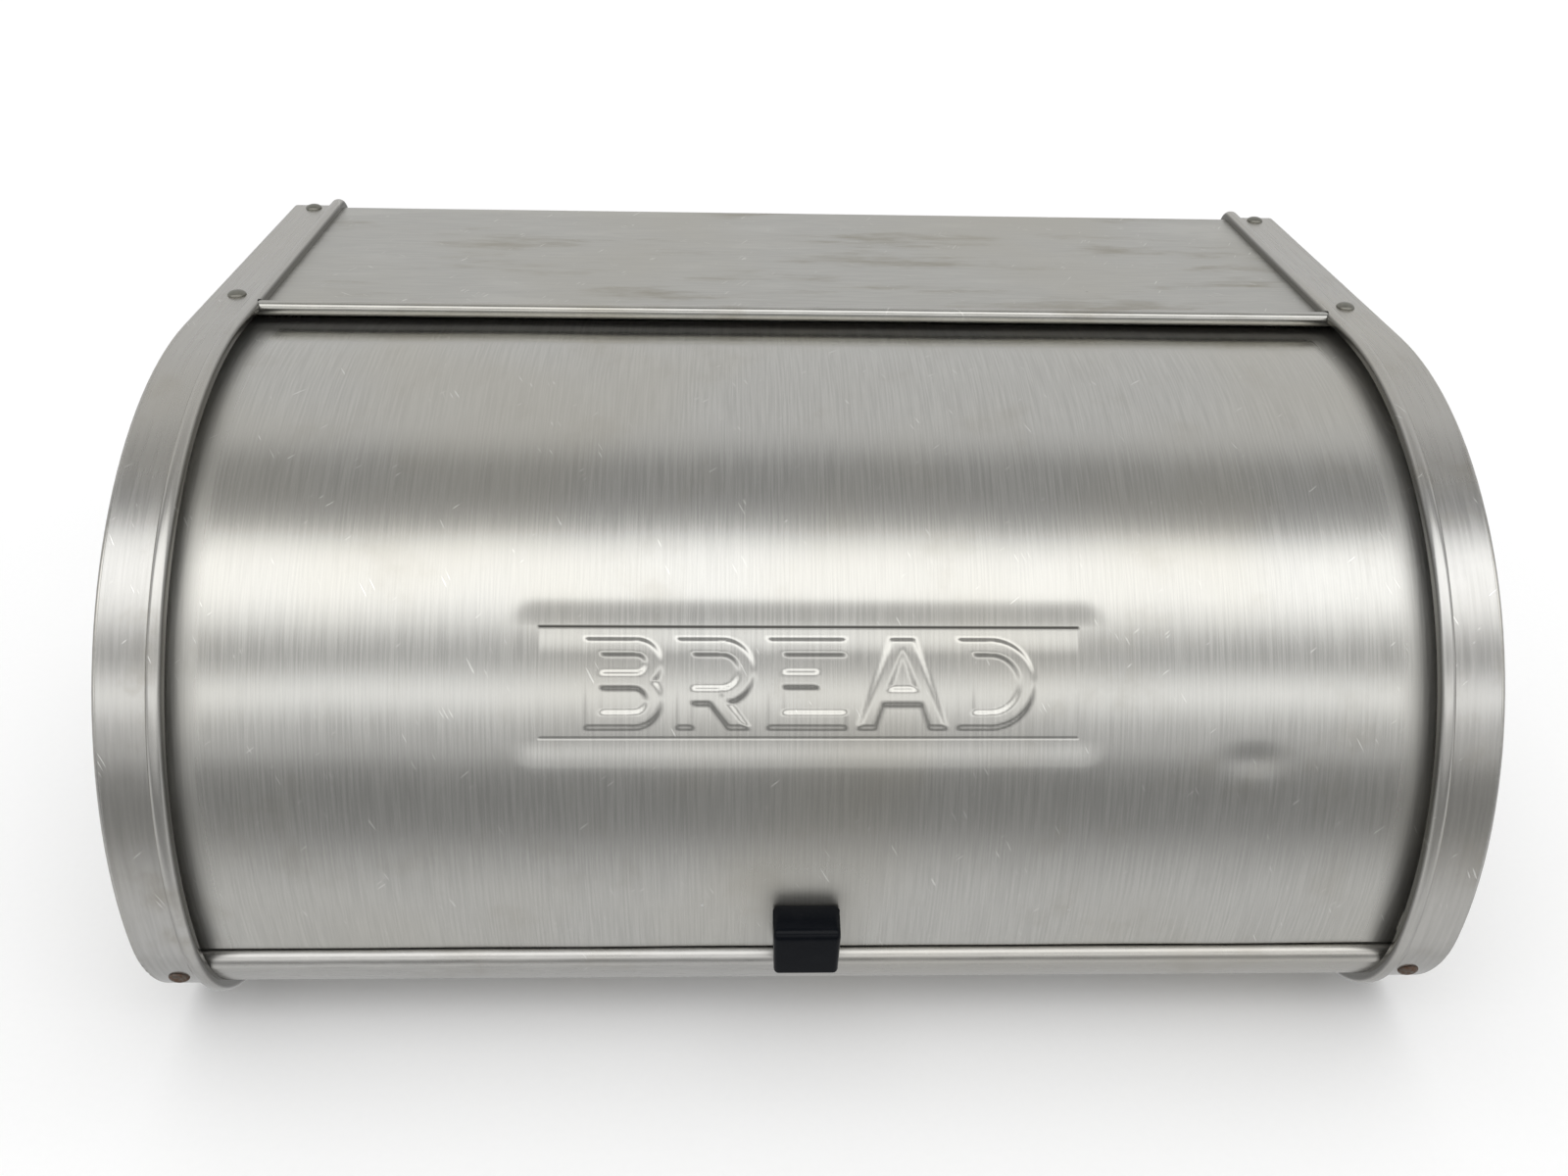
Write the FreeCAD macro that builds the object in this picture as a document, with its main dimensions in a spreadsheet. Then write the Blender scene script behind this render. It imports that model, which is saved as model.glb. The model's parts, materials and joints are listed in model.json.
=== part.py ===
import FreeCAD, Part
import Sketcher
import math
import os
from FreeCAD import Placement, Rotation, Vector

# Roll-top bread box. Right-handed frame: X along the box, -Y towards the user, +Z up.
# Origin: centre of the footprint, on the surface that the feet stand on.
# Every outline is drawn about the door's hinge axis, which runs along X.
# Turn angles are counted from straight up (0) over the front (90) to straight down (180).

SIZES = [
    # alias, millimetres or degrees, meaning
    ("case_width", 420.0, "over both end walls"),
    ("shell_radius", 140.5, "front curve of the end caps, about the hinge axis"),
    ("axis_height", 55.5, "hinge axis above the end caps' underside"),
    ("back_reach", 141.0, "hinge axis to the back of the end caps"),
    ("corner_radius", 50.0, "bottom front corner of the end caps"),
    ("rear_radius", 6.0, "rear corners of the end caps"),
    ("cap_gauge", 0.8, "sheet of the end caps"),
    ("panel_gauge", 0.8, "sheet of the deck, back and base"),
    ("lap_gap", 0.05, "between sheets that lap"),
    ("end_gap", 0.3, "between a panel's edge and the end wall"),
    ("flange_width", 21.0, "end cap's flange, bead included"),
    ("bead_width", 4.9, "rolled bead on the flange's inner edge"),
    ("bead_rise", 2.6, "bead above the flange"),
    ("bead_round", 2.2, "rounding of the bead's edges"),
    ("draw_radius", 1.4, "rounding between end wall and flange"),
    ("deck_edge", 17.8, "centre of the deck's front bead behind the hinge axis"),
    ("deck_bead_radius", 2.6, "rolled front edge of the deck"),
    ("deck_bead_overlap", 4.2, "deck bead's ends beyond the flanges' inner edges"),
    ("notch_gap", 0.4, "between the deck bead and the notches it lies in"),
    ("seam_lap", 18.0, "back panel's foot over the base"),
    ("rail_height", 38.0, "top of the front rail above the end caps' underside"),
    ("rail_round", 4.0, "rounded top of the front rail"),
    ("rail_lip", 8.0, "flat lip behind the front rail's rounding"),
    ("door_gauge", 0.7, "sheet of the door"),
    ("door_gap", 4.6, "door's face below the flange's underside"),
    ("door_top_turn", -11.0, "door's upper edge"),
    ("door_low_turn", 97.0, "door's lower edge"),
    ("door_edge_gap", 12.0, "door's side edges to the end caps' outer faces"),
    ("hem_depth", 4.0, "fold along the door's upper and lower edges"),
    ("panel_width", 163.6, "raised panel on the door"),
    ("panel_top_turn", 49.9, "raised panel's upper edge"),
    ("panel_low_turn", 64.4, "raised panel's lower edge"),
    ("panel_rise", 1.2, "raised panel above the door"),
    ("wing_inset", 16.0, "middle of a wing's sheet to the end cap's outer face"),
    ("wing_gauge", 1.0, "sheet of the door's wings"),
    ("wing_gap", 0.1, "between a wing's rim and the door sheet"),
    ("wing_hub", 13.0, "radius of a wing's boss about the hinge axis"),
    ("tab_length", 8.0, "wing's tab, along the door's curve"),
    ("tab_leaf", 3.0, "tab's folded leaf, along the hinge axis"),
    ("slot_gap", 0.25, "around a tab in its slot"),
    ("handle_width", 21.0, "along the hinge axis"),
    ("handle_depth", 10.9, "from the door's face to the handle's nose"),
    ("handle_top_turn", 88.6, "handle's upper edge on the door"),
    ("handle_low_turn", 96.2, "handle's lower edge on the door"),
    ("handle_slope", 1.8, "fall of the handle's top towards its nose"),
    ("nose_drop", 5.0, "handle's nose below its lower edge on the door"),
    ("scoop_rise", 4.0, "finger scoop above the handle's lower edge"),
    ("scoop_reach", 4.5, "finger scoop's crest in front of the handle's lower edge"),
    ("handle_round", 1.6, "rounding of the handle's edges"),
    ("screw_turn", 91.8, "handle screw on the door"),
    ("screw_radius", 2.0, "handle screw's thread"),
    ("screw_length", 7.0, "thread inside the handle"),
    ("screw_fit", 0.05, "around the handle screw"),
    ("screw_head_radius", 3.8, "handle screw's head"),
    ("screw_head_rise", 2.4, "handle screw's head"),
    ("washer_radius", 5.0, "washer under the handle screw"),
    ("washer_gauge", 0.8, "washer under the handle screw"),
    ("washer_seat", 0.12, "washer's middle below the door's curved inner face"),
    ("rivet_inset", 9.5, "row of end rivets to the end cap's outer face"),
    ("rivet_radius", 1.6, "shank of the end and seam rivets"),
    ("rivet_fit", 0.05, "around a rivet's shank"),
    ("rivet_head_radius", 3.25, "domed head"),
    ("rivet_head_rise", 1.7, "domed head"),
    ("rivet_tail_radius", 2.5, "upset tail inside the box"),
    ("rivet_tail_rise", 1.1, "upset tail inside the box"),
    ("tail_seat", 0.07, "base rivets' flat tails off the base, which curves at its corner"),
    ("deck_rivet_front", 28.0, "behind the hinge axis"),
    ("deck_rivet_rear", 9.5, "in front of the caps' back"),
    ("back_rivet_upper", 95.0, "above the hinge axis"),
    ("back_rivet_lower", 20.0, "below the hinge axis"),
    ("corner_rivet_turn", 116.2, "on the bottom front corner, about the corner's centre"),
    ("base_rivet_front", 60.0, "in front of the hinge axis"),
    ("base_rivet_rear", 95.0, "behind the hinge axis"),
    ("seam_rivet_pitch", 120.0, "between the three seam rivets"),
    ("seam_edge", 0.9, "seam rivets' heads from the edge of the back panel's foot"),
    ("pivot_radius", 2.5, "hinge rivet's shank"),
    ("pivot_fit", 0.06, "around the hinge rivet in the wing and bushes"),
    ("pivot_head_radius", 5.5, "hinge rivet's head outside the end wall"),
    ("pivot_head_rise", 2.2, "hinge rivet's head outside the end wall"),
    ("pivot_tail_radius", 4.2, "hinge rivet's upset tail"),
    ("pivot_tail_rise", 1.6, "hinge rivet's upset tail"),
    ("bush_radius", 6.5, "spacer bush and retaining washer"),
    ("retainer_gauge", 1.0, "retaining washer"),
    ("end_play", 0.25, "either side of a wing on its hinge rivet"),
    ("foot_height", 3.0, "feet below the end caps"),
    ("foot_radius", 8.0, "foot, where it meets the base"),
    ("foot_taper", 1.5, "foot's radius lost at the floor"),
    ("foot_side_inset", 42.0, "foot's centre to the end cap's outer face"),
    ("foot_front", 66.0, "front feet in front of the hinge axis"),
    ("foot_rear", 106.0, "rear feet behind the hinge axis"),
    ("stem_radius", 2.5, "foot's stem through the base"),
    ("stem_fit", 0.1, "around a foot's stem"),
    ("stem_bulb", 3.6, "foot's bulb inside the box"),
]

# Formulas on the sizes above: alias, formula, meaning.
PLACES = [
    ("half_width", "=sizes.case_width / 2", "end cap's outer face"),
    ("sheet_inset", "=sizes.cap_gauge + sizes.lap_gap", "a panel's outer face inside the caps' outline"),
    ("seam_inset", "=sheet_inset + sizes.panel_gauge + sizes.lap_gap", "back panel's foot, over the base"),
    ("panel_half", "=half_width - sizes.cap_gauge - sizes.end_gap", "a panel's side edge"),
    ("deck_level", "=sizes.shell_radius - sheet_inset", "deck's top face above the hinge axis"),
    ("base_level", "=sheet_inset - sizes.axis_height", "base's underside above the hinge axis"),
    ("door_radius", "=sizes.shell_radius - sizes.cap_gauge - sizes.door_gap", "door's face"),
    ("door_half", "=half_width - sizes.door_edge_gap", "door's side edge"),
    ("wing_place", "=half_width - sizes.wing_inset", "middle of a wing's sheet"),
    ("wing_radius", "=door_radius - sizes.door_gauge - sizes.wing_gap", "wing's rim"),
    ("nose_radius", "=door_radius + sizes.handle_depth", "handle's nose"),
    ("back_bead", "=sizes.back_reach + sizes.bead_rise", "hinge axis to the back of the caps' beads"),
    ("axis_back", "=(nose_radius - back_bead) / 2", "hinge axis behind the footprint's centre"),
    ("axis_up", "=sizes.axis_height + sizes.foot_height", "hinge axis above the floor"),
    ("rivet_line", "=half_width - sizes.rivet_inset", "row of end rivets"),
    ("corner_up", "=sizes.corner_radius - sizes.axis_height", "corner's centre above the hinge axis"),
    ("corner_out", "=sqrt((sizes.shell_radius - sizes.corner_radius)^2 - corner_up^2)",
     "corner's centre in front of the hinge axis"),
    ("rail_top", "=sizes.rail_height - sizes.axis_height", "rail's top above the hinge axis"),
]

X_AXIS = Vector(1, 0, 0)
Y_AXIS = Vector(0, 1, 0)
SIDES = (("left", -1), ("right", 1))
DOOR_TAB_TURNS = (22.0, 51.0, 93.0)
CAP_STACK = "(places.sheet_inset + sizes.panel_gauge)"
BASE_STACK = f"({CAP_STACK} + sizes.tail_seat)"
SEAM_STACK = "(2 * sizes.panel_gauge + sizes.lap_gap)"
TINY = 1e-4

doc = FreeCAD.newDocument("bread_box")


def fill_sheet(name, rows):
    """A spreadsheet with a meaning in column A and a named value in column B."""
    table = doc.addObject("Spreadsheet::Sheet", name)
    for number, (alias, value, meaning) in enumerate(rows, start=1):
        table.set(f"A{number}", meaning)
        table.set(f"B{number}", str(value))
        table.setAlias(f"B{number}", alias)
    doc.recompute()
    return table


sizes = fill_sheet("sizes", SIZES)
places = fill_sheet("places", PLACES)
sums = fill_sheet("sums", [])


def value(formula):
    """The number that a formula on the sheets gives."""
    sums.set("A1", "=" + formula)
    sums.recompute()
    number = sums.get("A1")
    return float(getattr(number, "Value", number))


def turn_point(radius, turn):
    """The point at a radius and a turn angle about the hinge axis, in a sketch's own plane."""
    return Vector(-radius * math.sin(math.radians(turn)), radius * math.cos(math.radians(turn)), 0)


def bind(thing, **formulas):
    """Tie properties to formulas; a double underscore in a name stands for a dot."""
    for name, formula in formulas.items():
        thing.setExpression(name.replace("__", "."), formula)


# Sketches


def cross_sketch(body, name, along):
    """A sketch across the box, its own axes along Y and Z, at a distance along X."""
    if body is None:
        sketch = doc.addObject("Sketcher::SketchObject", name)
        sketch.Placement = Placement(Vector(), Rotation(Vector(1, 1, 1), 120))
        return sketch
    plane = [item for item in body.Origin.OriginFeatures if item.Role == "YZ_Plane"][0]
    sketch = body.newObject("Sketcher::SketchObject", name)
    sketch.AttachmentSupport = [(plane, "")]
    sketch.MapMode = "FlatFace"
    bind(sketch, AttachmentOffset__Base__z=along)
    return sketch


def rule(sketch, kind, *where):
    sketch.addConstraint(Sketcher.Constraint(kind, *where))


def measure(sketch, kind, *where, formula, shown):
    """A dimension on a sketch, tied to a formula on the sheets."""
    number = sketch.addConstraint(Sketcher.Constraint(kind, *where, shown))
    sketch.setExpression(f"Constraints[{number}]", formula)


def arc_about(centre, radius, start, end):
    """A counter-clockwise arc between two directions, in degrees from the sketch's own X axis."""
    circle = Part.Circle(centre, Vector(0, 0, 1), radius)
    return Part.ArcOfCircle(circle, math.radians(start), math.radians(end))


def end_outline(body, name, along, inset):
    """The end cap's closed D outline, moved inwards by an inset."""
    sketch = cross_sketch(body, name, along)
    depth = value(inset)
    shell = value("sizes.shell_radius") - depth
    back = value("sizes.back_reach") - depth
    low = value("sizes.axis_height") - depth
    rear = value("sizes.rear_radius") - depth
    corner = value("sizes.corner_radius") - depth
    centre = Vector(-value("places.corner_out"), value("places.corner_up"), 0)
    meet = math.degrees(math.atan2(centre.y, centre.x)) % 360
    pieces = [
        Part.LineSegment(Vector(back - rear, shell, 0), Vector(0, shell, 0)),
        arc_about(Vector(), shell, 90, meet),
        arc_about(centre, corner, meet, 270),
        Part.LineSegment(Vector(centre.x, -low, 0), Vector(back - rear, -low, 0)),
        arc_about(Vector(back - rear, rear - low, 0), rear, 270, 360),
        Part.LineSegment(Vector(back, rear - low, 0), Vector(back, shell - rear, 0)),
        arc_about(Vector(back - rear, shell - rear, 0), rear, 0, 90),
    ]
    top, front, front_corner, bottom, low_rear, rear_line, high_rear = sketch.addGeometry(pieces, False)
    loop = [top, front, front_corner, bottom, low_rear, rear_line, high_rear]
    for this, following in zip(loop, loop[1:] + loop[:1]):
        rule(sketch, "Tangent", this, 2, following, 1)
    rule(sketch, "Coincident", front, 3, -1, 1)
    rule(sketch, "Horizontal", top)
    rule(sketch, "Horizontal", bottom)
    rule(sketch, "Vertical", rear_line)
    measure(sketch, "Radius", front, formula=f"sizes.shell_radius - ({inset})", shown=shell)
    measure(sketch, "Radius", front_corner, formula=f"sizes.corner_radius - ({inset})", shown=corner)
    measure(sketch, "Radius", low_rear, formula=f"sizes.rear_radius - ({inset})", shown=rear)
    measure(sketch, "Radius", high_rear, formula=f"sizes.rear_radius - ({inset})", shown=rear)
    measure(sketch, "DistanceX", -1, 1, rear_line, 1, formula=f"sizes.back_reach - ({inset})", shown=back)
    measure(sketch, "DistanceY", bottom, 1, -1, 1, formula=f"sizes.axis_height - ({inset})", shown=low)
    return sketch


def band_outline(body, name, along, inner, outer, start, end):
    """A closed band between two radii about the hinge axis, from one turn angle to another."""
    sketch = cross_sketch(body, name, along)
    radii = [value(inner), value(outer)]
    turns = [value(start), value(end)]
    corners = [[turn_point(radius, turn) for radius in radii] for turn in turns]
    pieces = [
        Part.LineSegment(corners[0][0], corners[0][1]),
        arc_about(Vector(), radii[1], 90 + turns[0], 90 + turns[1]),
        Part.LineSegment(corners[1][0], corners[1][1]),
        arc_about(Vector(), radii[0], 90 + turns[0], 90 + turns[1]),
    ]
    first, far, last, near = sketch.addGeometry(pieces, False)
    for arc, ends in ((far, 2), (near, 1)):
        rule(sketch, "Coincident", first, ends, arc, 1)
        rule(sketch, "Coincident", last, ends, arc, 2)
        rule(sketch, "Coincident", arc, 3, -1, 1)
    for line in (first, last):
        rule(sketch, "PointOnObject", -1, 1, line)
    measure(sketch, "Radius", far, formula=outer, shown=radii[1])
    measure(sketch, "Radius", near, formula=inner, shown=radii[0])
    measure(sketch, "Angle", first, formula=f"90 + {start}", shown=math.radians(90 + turns[0]))
    measure(sketch, "Angle", last, formula=f"90 + {end}", shown=math.radians(90 + turns[1]))
    return sketch


def disc_outline(body, name, along, radius):
    """A circle about the hinge axis."""
    sketch = cross_sketch(body, name, along)
    circle = sketch.addGeometry(Part.Circle(Vector(), Vector(0, 0, 1), value(radius)), False)
    rule(sketch, "Coincident", circle, 3, -1, 1)
    measure(sketch, "Radius", circle, formula=radius, shown=value(radius))
    return sketch


# Features


def slab(body, kind, sketch, width):
    """Pad or pocket a sketch by half a width to each side of its plane, and check that it did."""
    before = body.Shape.Volume if body.Tip else 0.0
    feature = body.newObject(f"PartDesign::{kind}", f"{sketch.Name}_{kind.lower()}")
    feature.Profile = sketch
    feature.SideType = "Symmetric"
    bind(feature, Length=width)
    doc.recompute()
    change = feature.Shape.Volume - before
    if (change > 0) != (kind == "Pad"):
        raise RuntimeError(f"{feature.Name} changed the volume by {change:.1f} mm3")
    return feature


def round_edges(body, name, edges, radius):
    """Fillet the edges, given as names on the body's last feature."""
    tip = body.Tip
    fillet = body.newObject("PartDesign::Fillet", name)
    fillet.Base = (tip, edges)
    bind(fillet, Radius=radius)
    doc.recompute()
    return fillet


def cylinder(name, radius, length, start="0"):
    """A cylinder along its own Z axis, from a start height."""
    part = doc.addObject("Part::Cylinder", name)
    bind(part, Radius=radius, Height=length, Placement__Base__z=start)
    return part


def dome(name, radius, rise, start="0"):
    """Half an ellipsoid that stands on its own XY plane at a start height."""
    part = doc.addObject("Part::Ellipsoid", name)
    part.Angle1 = 0
    bind(part, Radius1=rise, Radius2=radius, Radius3=radius, Placement__Base__z=start)
    return part


def joined(name, parts):
    fused = doc.addObject("Part::MultiFuse", name)
    fused.Shapes = parts
    return fused


def grouped(name, parts):
    group = doc.addObject("Part::Compound", name)
    group.Links = parts
    return group


def cut_away(name, base, tool):
    cut = doc.addObject("Part::Cut", name)
    cut.Base = base
    cut.Tool = tool
    return cut


def outer_loop(shape, along):
    """Names of the edges round the outside of the flat faces at one distance along X."""
    names = []
    for face in shape.Faces:
        if abs(face.BoundBox.XMin - along) > TINY or abs(face.BoundBox.XMax - along) > TINY:
            continue
        for rim in face.OuterWire.Edges:
            names += [f"Edge{number}" for number, edge in enumerate(shape.Edges, start=1) if edge.isSame(rim)]
    return names


def put(part, along, back, up, turn):
    """Stand a part with its own Z axis along a turn angle's outward direction."""
    part.Placement = Placement(Vector(), Rotation(X_AXIS, value(turn)))
    bind(part, Placement__Base__x=along, Placement__Base__y=back, Placement__Base__z=up)
    return part


def strip(name, sketch, gauge, width):
    """A sheet of constant gauge inside an open outline, across the box."""
    section = doc.addObject("Part::Offset2D", f"{name}_section")
    section.Source = sketch
    section.Mode = "Skin"
    section.Fill = True
    bind(section, Value=gauge)
    sheet = doc.addObject("Part::Extrusion", f"{name}_sheet")
    sheet.Base = section
    sheet.DirMode = "Custom"
    sheet.Dir = X_AXIS
    sheet.Solid = True
    sheet.Symmetric = True
    bind(sheet, LengthFwd=width)
    return sheet


# Rivets and their holes


def rivet_rows(side):
    """Places of one side's rivets by the lap that they close: along, back, up, turn."""
    along = f"{side} * places.rivet_line"
    underside = "-sizes.axis_height"
    corner_back = "-places.corner_out - sizes.corner_radius * sin(sizes.corner_rivet_turn * 1 deg)"
    corner_up = "places.corner_up + sizes.corner_radius * cos(sizes.corner_rivet_turn * 1 deg)"
    return {
        "deck": [
            (along, "sizes.deck_rivet_front", "sizes.shell_radius", "0"),
            (along, "sizes.back_reach - sizes.deck_rivet_rear", "sizes.shell_radius", "0"),
        ],
        "back": [
            (along, "sizes.back_reach", "sizes.back_rivet_upper", "-90"),
            (along, "sizes.back_reach", "-sizes.back_rivet_lower", "-90"),
        ],
        "base": [
            (along, corner_back, corner_up, "sizes.corner_rivet_turn"),
            (along, "-sizes.base_rivet_front", underside, "180"),
            (along, "sizes.base_rivet_rear", underside, "180"),
        ],
    }


def seam_row():
    """Three rivets through the base and the back panel's foot."""
    back = "sizes.back_reach - sizes.seam_lap + sizes.rivet_head_radius + sizes.seam_edge"
    return [(f"{step} * sizes.seam_rivet_pitch", back, "places.base_level", "180") for step in (-1, 0, 1)]


def rivet(name, place, stack):
    """A domed rivet with its upset tail behind a stack of sheet."""
    tail_end = f"-({stack}) - sizes.rivet_tail_rise"
    head = dome(f"{name}_head", "sizes.rivet_head_radius", "sizes.rivet_head_rise")
    shank = cylinder(f"{name}_shank", "sizes.rivet_radius", f"{stack} + sizes.rivet_tail_rise", tail_end)
    tail = cylinder(f"{name}_tail", "sizes.rivet_tail_radius", "sizes.rivet_tail_rise", tail_end)
    return put(joined(name, [head, shank, tail]), *place)


def drill(name, place, radius, deep, proud):
    """A round tool from a depth below a place to a height above it."""
    tool = grouped(name, [cylinder(f"{name}_bit", radius, f"{deep} + {proud}", f"-({deep})")])
    return put(tool, *place)


def rivet_set(label, row, stack):
    """A node of rivets, and the drills for their holes."""
    rivets = [rivet(f"{label}_{number}", place, stack) for number, place in enumerate(row)]
    drills = [drill(f"{label}_hole_{number}", place, "sizes.rivet_radius + sizes.rivet_fit",
                    f"{stack} + sizes.rivet_radius", "sizes.rivet_radius")
              for number, place in enumerate(row)]
    return finish(grouped(label, rivets), label), drills


# Casing


def end_cap(side_name, side, drills):
    """A drawn D-shaped pan, its end wall outwards and its flange edged with a rolled bead."""
    label = f"{side_name}_end_cap"
    body = doc.addObject("PartDesign::Body", f"{label}_pan")
    inner = f"{side} * (places.half_width - sizes.flange_width)"
    middle = f"{side} * (places.half_width - sizes.flange_width / 2)"
    bead_middle = f"{inner} + {side} * sizes.bead_width / 2"
    bead_end = f"{inner} + {side} * sizes.bead_width"
    slab(body, "Pad", end_outline(body, f"{label}_block", middle, "0"), "sizes.flange_width")
    slab(body, "Pad", end_outline(body, f"{label}_bead", bead_middle, "-sizes.bead_rise"), "sizes.bead_width")
    bead_edges = outer_loop(body.Shape, value(inner)) + outer_loop(body.Shape, value(bead_end))
    round_edges(body, f"{label}_bead_round", bead_edges, "sizes.bead_round")
    rim = outer_loop(body.Shape, value(f"{side} * places.half_width"))
    round_edges(body, f"{label}_draw_round", rim, "sizes.draw_radius")
    slab(body, "Pocket", end_outline(body, f"{label}_hollow", inner, "sizes.cap_gauge"),
         "2 * (sizes.flange_width - sizes.cap_gauge)")
    slab(body, "Pocket", disc_outline(body, f"{label}_pivot_hole", f"{side} * places.half_width",
                                      "sizes.pivot_radius + sizes.pivot_fit"), "4 * sizes.cap_gauge")
    notch = cylinder(f"{label}_notch", "sizes.deck_bead_radius + sizes.notch_gap",
                     "2 * (sizes.deck_bead_overlap + sizes.notch_gap)",
                     "-sizes.deck_bead_overlap - sizes.notch_gap")
    notch_place = grouped(f"{label}_notch_place", [notch])
    notch_place.Placement = Placement(Vector(), Rotation(Y_AXIS, 90))
    bind(notch_place, Placement__Base__x=inner, Placement__Base__y="sizes.deck_edge",
         Placement__Base__z="places.deck_level")
    return finish(cut_away(label, body, grouped(f"{label}_tools", drills + [notch_place])), label)


def top_back_outline():
    """Open outer line of the deck and back, from the deck's front edge to the foot over the base."""
    sketch = cross_sketch(None, "top_back_outline", "0")
    level = value("places.deck_level")
    back = value("sizes.back_reach - places.sheet_inset")
    high = value("sizes.rear_radius - places.sheet_inset")
    low = value("sizes.rear_radius - places.seam_inset")
    foot = value("places.seam_inset - sizes.axis_height")
    foot_end = value("sizes.back_reach - sizes.seam_lap")
    edge = value("sizes.deck_edge")
    pieces = [
        Part.LineSegment(Vector(edge, level, 0), Vector(back - high, level, 0)),
        arc_about(Vector(back - high, level - high, 0), high, 0, 90),
        Part.LineSegment(Vector(back, level - high, 0), Vector(back, foot + low, 0)),
        arc_about(Vector(back - low, foot + low, 0), low, 270, 360),
        Part.LineSegment(Vector(back - low, foot, 0), Vector(foot_end, foot, 0)),
    ]
    deck, high_arc, rear, low_arc, seam = sketch.addGeometry(pieces, False)
    rule(sketch, "Tangent", deck, 2, high_arc, 2)
    rule(sketch, "Tangent", high_arc, 1, rear, 1)
    rule(sketch, "Tangent", rear, 2, low_arc, 2)
    rule(sketch, "Tangent", low_arc, 1, seam, 1)
    rule(sketch, "Horizontal", deck)
    rule(sketch, "Vertical", rear)
    rule(sketch, "Horizontal", seam)
    measure(sketch, "Radius", high_arc, formula="sizes.rear_radius - places.sheet_inset", shown=high)
    measure(sketch, "Radius", low_arc, formula="sizes.rear_radius - places.seam_inset", shown=low)
    measure(sketch, "DistanceX", -1, 1, deck, 1, formula="sizes.deck_edge", shown=edge)
    measure(sketch, "DistanceY", -1, 1, deck, 1, formula="places.deck_level", shown=level)
    measure(sketch, "DistanceX", -1, 1, rear, 1, formula="sizes.back_reach - places.sheet_inset", shown=back)
    measure(sketch, "DistanceX", -1, 1, seam, 2, formula="sizes.back_reach - sizes.seam_lap", shown=foot_end)
    measure(sketch, "DistanceY", seam, 1, -1, 1, formula="sizes.axis_height - places.seam_inset", shown=-foot)
    return sketch


def top_back_panel(drills):
    """One sheet: deck with a rolled front edge, back, and a foot riveted over the base."""
    sheet = strip("top_back", top_back_outline(), "sizes.panel_gauge", "2 * places.panel_half")
    reach = "places.half_width - sizes.flange_width + sizes.deck_bead_overlap - sizes.deck_bead_radius"
    roll = cylinder("deck_bead_roll", "sizes.deck_bead_radius", f"2 * ({reach})", f"-({reach})")
    ends = [dome(f"deck_bead_{name}_end", "sizes.deck_bead_radius", "sizes.deck_bead_radius",
                 f"{side} * ({reach})")
            for name, side in SIDES]
    for end in ends:
        end.Angle1 = -90
    bead = joined("deck_bead", [roll] + ends)
    bead.Placement = Placement(Vector(), Rotation(Y_AXIS, 90))
    bind(bead, Placement__Base__y="sizes.deck_edge", Placement__Base__z="places.deck_level")
    whole = joined("top_back_whole", [sheet, bead])
    return finish(cut_away("top_back_panel", whole, grouped("top_back_tools", drills)), "top_back_panel")


def base_outline():
    """Open outer line of the base: flat, front corner, rounded rail and the lip behind it."""
    sketch = cross_sketch(None, "base_outline", "0")
    level = value("places.base_level")
    corner = value("sizes.corner_radius - places.sheet_inset")
    centre = Vector(-value("places.corner_out"), value("places.corner_up"), 0)
    curl = value("sizes.rail_round")
    rail_top = value("places.rail_top")
    rise = rail_top - curl - centre.y
    curl_centre = Vector(centre.x - math.sqrt((corner - curl) ** 2 - rise ** 2), rail_top - curl, 0)
    meet = math.degrees(math.atan2(rise, curl_centre.x - centre.x)) % 360
    rear_end = value("sizes.back_reach - sizes.rear_radius")
    lip = value("sizes.rail_lip")
    pieces = [
        Part.LineSegment(Vector(rear_end, level, 0), Vector(centre.x, level, 0)),
        arc_about(centre, corner, meet, 270),
        arc_about(curl_centre, curl, 90, meet),
        Part.LineSegment(Vector(curl_centre.x, rail_top, 0), Vector(curl_centre.x + lip, rail_top, 0)),
    ]
    flat, corner_arc, curl_arc, lip_line = sketch.addGeometry(pieces, False)
    rule(sketch, "Tangent", flat, 2, corner_arc, 2)
    rule(sketch, "Tangent", corner_arc, 1, curl_arc, 2)
    rule(sketch, "Tangent", curl_arc, 1, lip_line, 1)
    rule(sketch, "Horizontal", flat)
    rule(sketch, "Horizontal", lip_line)
    measure(sketch, "Radius", corner_arc, formula="sizes.corner_radius - places.sheet_inset", shown=corner)
    measure(sketch, "Radius", curl_arc, formula="sizes.rail_round", shown=curl)
    measure(sketch, "DistanceX", corner_arc, 3, -1, 1, formula="places.corner_out", shown=-centre.x)
    measure(sketch, "DistanceY", flat, 1, -1, 1, formula="-places.base_level", shown=-level)
    measure(sketch, "DistanceY", lip_line, 1, -1, 1, formula="-places.rail_top", shown=-rail_top)
    measure(sketch, "DistanceX", lip_line, 1, lip_line, 2, formula="sizes.rail_lip", shown=lip)
    measure(sketch, "DistanceX", -1, 1, flat, 1, formula="sizes.back_reach - sizes.rear_radius",
            shown=rear_end)
    return sketch


def base_panel(drills):
    """One sheet: the bottom, turned up at the front into the rail that the door closes on."""
    sheet = strip("base", base_outline(), "sizes.panel_gauge", "2 * places.panel_half")
    return finish(cut_away("base_panel", sheet, grouped("base_tools", drills)), "base_panel")


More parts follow.
